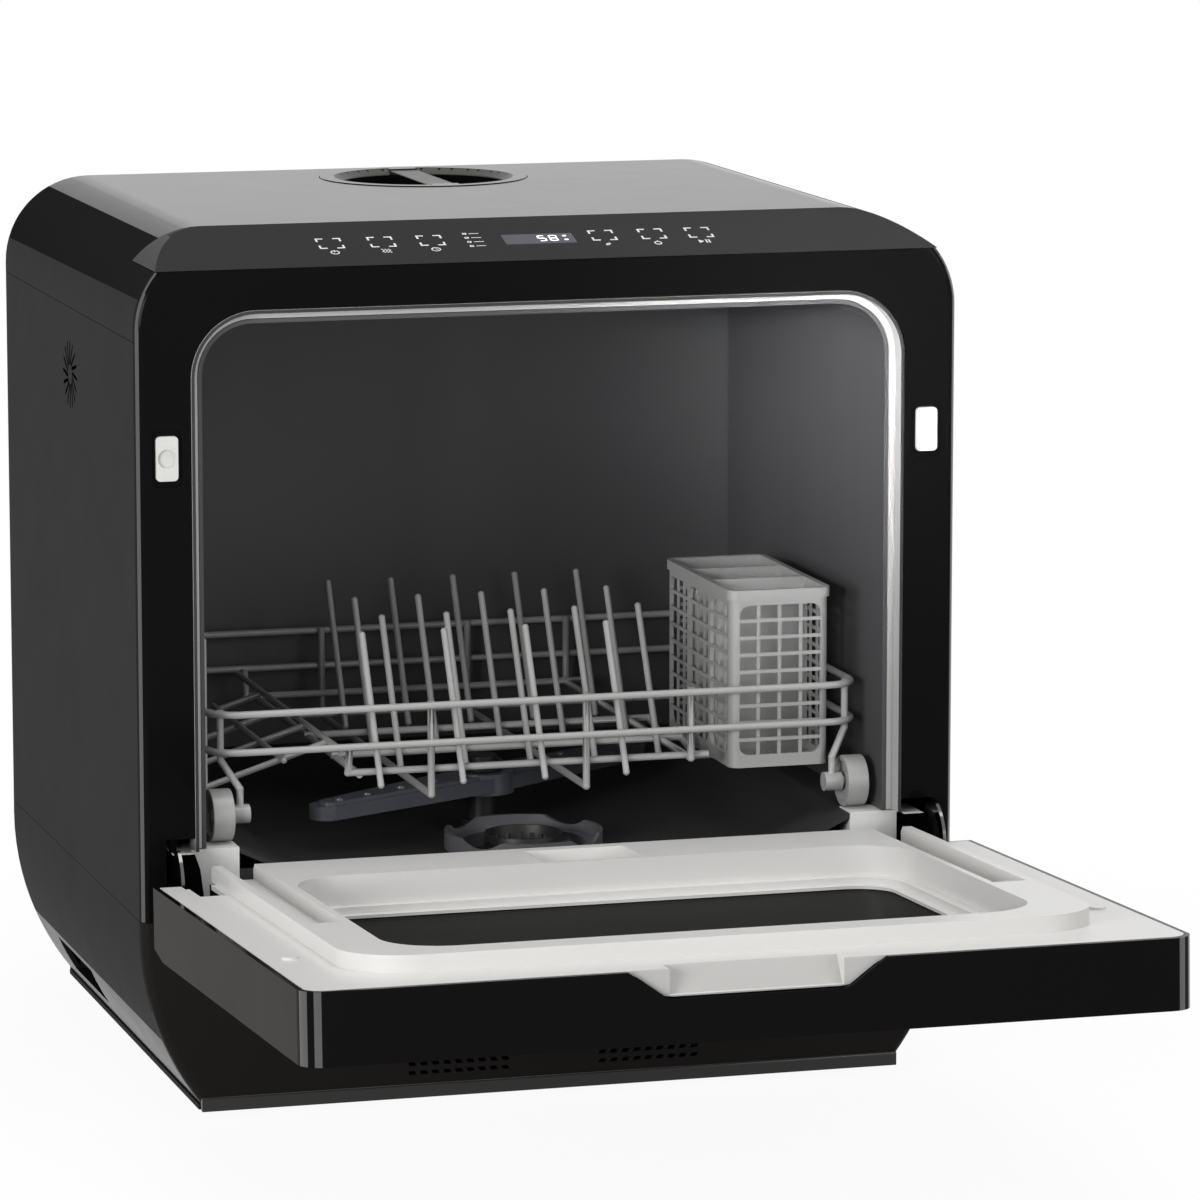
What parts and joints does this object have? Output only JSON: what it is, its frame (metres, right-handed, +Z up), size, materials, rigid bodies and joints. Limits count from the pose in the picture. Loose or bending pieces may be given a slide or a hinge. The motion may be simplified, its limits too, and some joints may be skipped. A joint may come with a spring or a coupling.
{
  "type": "countertop dishwasher",
  "caption": "Compact countertop dishwasher with a drop-down glass door, a rolling wire rack with a cutlery basket, a spray arm, a touch panel and a filler lid on the roof.",
  "frame": {"origin": "on the worktop, at the middle of the whole footprint with the door open (midway between the open door's tip and the drain spigot)", "axes": "+X to the right of someone facing the door, +Y from the front to the back, +Z up"},
  "size_m": [0.42, 0.7068, 0.4364],
  "materials": {
    "casing_side": "satin charcoal paint with a fine grain",
    "casing_base": "satin charcoal moulding",
    "top_black": "gloss black",
    "fascia_black": "gloss black",
    "panel_grey": "smooth dark grey control panel",
    "display_glass": "smoked display window",
    "door_glass": "smoke tinted glass",
    "circuit_board": "green circuit board",
    "tub_steel": "satin stainless sheet",
    "basin_black": "black moulding",
    "trim_grey": "light grey trim",
    "seal_rubber": "black rubber",
    "light_grey": "light grey moulding",
    "door_liner": "off-white moulded liner",
    "white_plastic": "white moulding",
    "zinc_steel": "plain steel",
    "polished_stay": "polished steel",
    "wire_grey": "light grey coated wire",
    "grey_plastic": "mid grey moulding",
    "arm_blue_grey": "smoky blue-grey moulding",
    "dark_plastic": "dark moulding",
    "mesh_steel": "fine stainless mesh",
    "tank_plastic": "milky moulding",
    "motor_metal": "dark painted motor case"
  },
  "bodies": {
    "cabinet": {"base_housing": "casing_base", "left_panel": "casing_side", "right_panel": "casing_side", "back_panel": "casing_side", "top_cover": "top_black", "front_fascia": "fascia_black", "control_panel": "panel_grey", "display_window": "display_glass", "display_board": "circuit_board", "main_board": "circuit_board", "tub": "tub_steel", "basin": "basin_black", "tub_trim": "trim_grey", "door_gasket": "seal_rubber", "hinge_block_left": "light_grey", "hinge_block_right": "light_grey", "hinge_pins": "zinc_steel", "sump": "basin_black", "wash_pump": "motor_metal", "drain_pump": "motor_metal", "heater": "zinc_steel", "water_tank": "tank_plastic", "fill_funnel": "dark_plastic", "inlet_valve": "white_plastic", "drain_spigot": "dark_plastic", "power_gland": "dark_plastic", "fan_frame": "dark_plastic", "fan_motor": "motor_metal", "feet": "seal_rubber", "case_screws": "zinc_steel", "catch_case_left": "dark_plastic", "catch_case_right": "dark_plastic", "catch_spring_left": "zinc_steel", "catch_spring_right": "zinc_steel", "spray_pedestal": "dark_plastic", "spray_nut": "dark_plastic"},
    "door": {"door_shell": "fascia_black", "door_outer_glass": "door_glass", "door_inner_panel": "door_liner", "door_window": "door_glass", "door_stay_left": "polished_stay", "door_stay_right": "polished_stay"},
    "rack": {"rack_frame": "wire_grey", "rack_tines": "wire_grey", "mug_shelf": "wire_grey"},
    "roller_front_left": {"roller_front_left": "grey_plastic"},
    "roller_front_right": {"roller_front_right": "grey_plastic"},
    "roller_rear_left": {"roller_rear_left": "grey_plastic"},
    "roller_rear_right": {"roller_rear_right": "grey_plastic"},
    "basket": {"cutlery_basket": "grey_plastic"},
    "spray_arm": {"spray_arm": "arm_blue_grey"},
    "filter": {"filter_cup": "dark_plastic", "filter_mesh": "mesh_steel"},
    "lid_ring": {"lid_seal": "seal_rubber"},
    "lid": {"tank_lid": "top_black"},
    "catch_left": {"catch_left": "white_plastic"},
    "catch_right": {"catch_right": "white_plastic"},
    "fan_wheel": {"fan_wheel": "dark_plastic"}
  },
  "joints": [
    {"name": "door_hinge", "type": "hinge", "parent": "cabinet", "child": "door", "pos_m": [0, -0.03686, 0.1006], "axis": [1, 0, 0], "range_deg": [-87.2, 0]},
    {"name": "rack_slide", "type": "slide", "parent": "cabinet", "child": "rack", "axis": [0, -1, 0], "range_m": [0, 0.18]},
    {"name": "roller_front_left_turn", "type": "hinge", "parent": "rack", "child": "roller_front_left", "pos_m": [-0.1645, 0.01244, 0.1465], "axis": [1, 0, 0], "range_deg": [-10, 800]},
    {"name": "roller_front_right_turn", "type": "hinge", "parent": "rack", "child": "roller_front_right", "pos_m": [0.1645, 0.01244, 0.1465], "axis": [1, 0, 0], "range_deg": [-10, 800]},
    {"name": "roller_rear_left_turn", "type": "hinge", "parent": "rack", "child": "roller_rear_left", "pos_m": [-0.1645, 0.21844, 0.1465], "axis": [1, 0, 0], "range_deg": [-10, 800]},
    {"name": "roller_rear_right_turn", "type": "hinge", "parent": "rack", "child": "roller_rear_right", "pos_m": [0.1645, 0.21844, 0.1465], "axis": [1, 0, 0], "range_deg": [-10, 800]},
    {"name": "basket_lift", "type": "slide", "parent": "rack", "child": "basket", "axis": [0, 0, 1], "range_m": [0, 0.12]},
    {"name": "spray_arm_spin", "type": "hinge", "parent": "cabinet", "child": "spray_arm", "pos_m": [0, 0.12444, 0.131], "axis": [0, 0, 1], "continuous": true},
    {"name": "filter_twist", "type": "hinge", "parent": "cabinet", "child": "filter", "pos_m": [0.008, 0.07244, 0.109], "axis": [0, 0, 1], "range_deg": [0, 45]},
    {"name": "lid_lift", "type": "slide", "parent": "cabinet", "child": "lid_ring", "axis": [0, 0, 1], "range_m": [0, 0.05]},
    {"name": "lid_turn", "type": "hinge", "parent": "lid_ring", "child": "lid", "pos_m": [0.004, 0.25444, 0.436], "axis": [0, 0, 1], "range_deg": [0, 60]},
    {"name": "catch_left_press", "type": "slide", "parent": "cabinet", "child": "catch_left", "axis": [0, 1, 0], "range_m": [0, 0.0025], "stiffness_N_per_m": 600, "deforming": ["catch_spring_left"]},
    {"name": "catch_right_press", "type": "slide", "parent": "cabinet", "child": "catch_right", "axis": [0, 1, 0], "range_m": [0, 0.0025], "stiffness_N_per_m": 600, "deforming": ["catch_spring_right"]},
    {"name": "fan_spin", "type": "hinge", "parent": "cabinet", "child": "fan_wheel", "pos_m": [-0.198, 0.14444, 0.3515], "axis": [1, 0, 0], "continuous": true}
  ],
  "couplings": [
    {"joint": "roller_front_left_turn", "follows": "rack_slide", "rad_per_m": 76.923},
    {"joint": "roller_front_right_turn", "follows": "rack_slide", "rad_per_m": 76.923},
    {"joint": "roller_rear_left_turn", "follows": "rack_slide", "rad_per_m": 76.923},
    {"joint": "roller_rear_right_turn", "follows": "rack_slide", "rad_per_m": 76.923}
  ]
}
